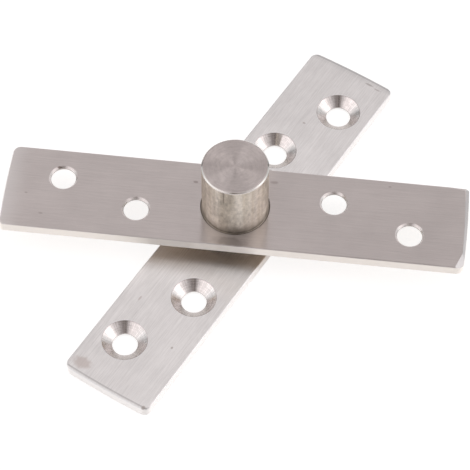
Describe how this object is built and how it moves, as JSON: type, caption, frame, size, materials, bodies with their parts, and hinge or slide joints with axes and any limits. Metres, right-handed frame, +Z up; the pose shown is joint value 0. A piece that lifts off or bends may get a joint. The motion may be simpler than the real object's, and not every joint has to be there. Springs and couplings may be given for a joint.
{
  "type": "pivot hinge",
  "caption": "Two flat steel plates that turn on one upright pivot. The upper one carries a round bearing cup for a hole in the door's edge, and both have countersunk screw holes.",
  "frame": {"origin": "on the pivot axis, at the underside of the lower plate, which rests on the floor or frame", "axes": "+Z up along the pivot axis, from the lower plate to the cup. +X along the lower plate. At rest the upper plate stands at 63.8 degrees to it, turned clockwise as seen from above"},
  "size_m": [0.12, 0.117, 0.0279],
  "materials": {
    "plate_steel": "stainless flat bar, brushed along its length",
    "turned_steel": "stainless bar, turned",
    "bearing_steel": "hardened and polished",
    "cage_brass": "stamped brass",
    "bush_bronze": "sintered bronze"
  },
  "bodies": {
    "lower": {"lower_plate": "plate_steel", "pivot_pin": "turned_steel", "lower_race": "bearing_steel"},
    "upper": {"upper_plate": "plate_steel", "bearing_cup": "turned_steel", "cup_bush": "bush_bronze", "upper_race": "bearing_steel"},
    "cage": {"ball_cage": "cage_brass", "ball_1": "bearing_steel", "ball_2": "bearing_steel", "ball_3": "bearing_steel", "ball_4": "bearing_steel", "ball_5": "bearing_steel", "ball_6": "bearing_steel", "ball_7": "bearing_steel", "ball_8": "bearing_steel"}
  },
  "joints": [
    {"name": "pivot", "type": "hinge", "parent": "lower", "child": "upper", "pos_m": [0, 0, 0.00736], "axis": [0, 0, 1], "continuous": true},
    {"name": "cage_turn", "type": "hinge", "parent": "lower", "child": "cage", "pos_m": [0, 0, 0.00518], "axis": [0, 0, 1], "continuous": true}
  ],
  "couplings": [
    {"joint": "cage_turn", "follows": "pivot", "ratio": 0.5}
  ]
}
